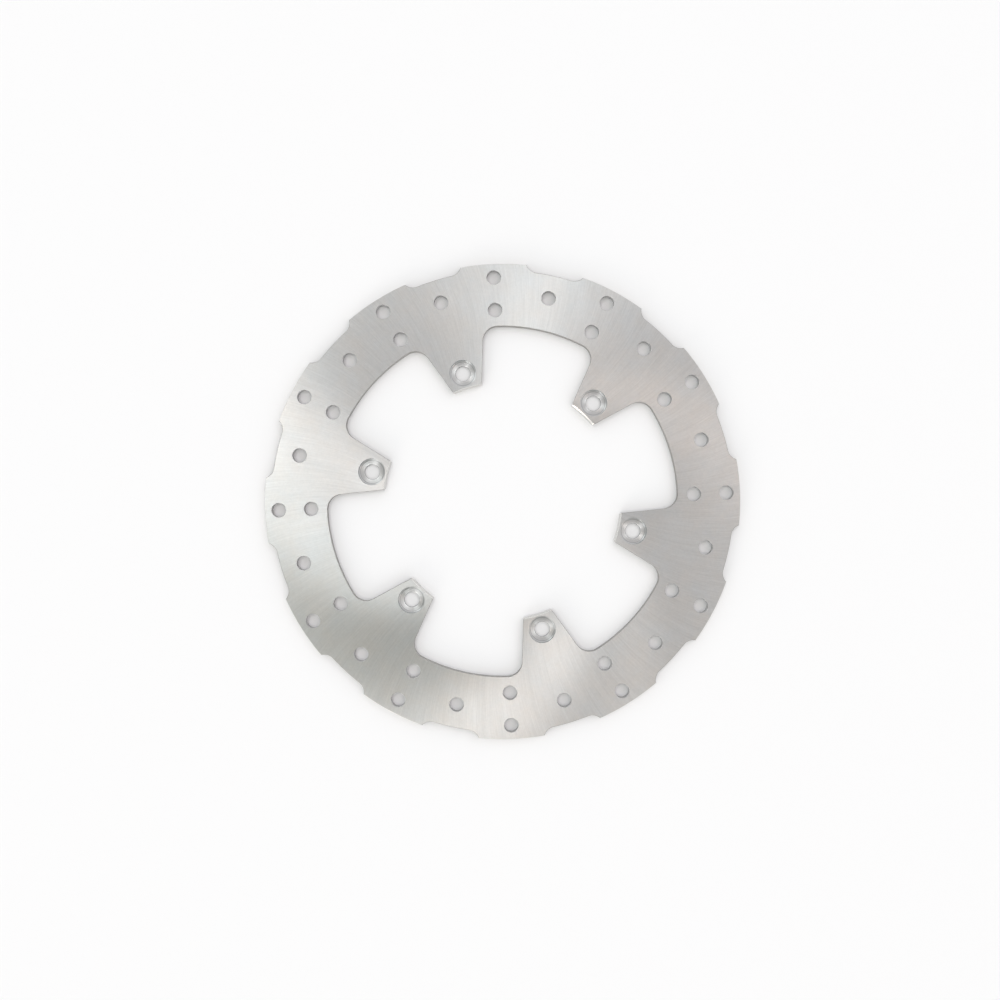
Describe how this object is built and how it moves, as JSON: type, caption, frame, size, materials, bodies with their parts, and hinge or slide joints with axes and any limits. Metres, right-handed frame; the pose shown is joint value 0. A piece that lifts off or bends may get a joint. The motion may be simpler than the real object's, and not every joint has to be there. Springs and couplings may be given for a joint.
{
  "type": "motorcycle brake disc rotor",
  "caption": "Flat solid brake disc with a lobed outer edge, a drilled friction ring and inward lugs with screw seats for bolting it to a wheel hub.",
  "frame": {"origin": "centre of the hub-side face, on the disc's axis", "axes": "+Z along the disc's axis, out of the outer face where the screw heads sit; +Y through the middle of a lobe and its pair of drilled holes; the lugs point inward at 45 degrees from +X and every 60 degrees on"},
  "size_m": [0.24, 0.24, 0.004],
  "materials": {
    "rotor_steel": "ground flat, with fine nearly radial grinding lines"
  },
  "bodies": {
    "root": {"rotor_disc": "rotor_steel"}
  },
  "joints": []
}
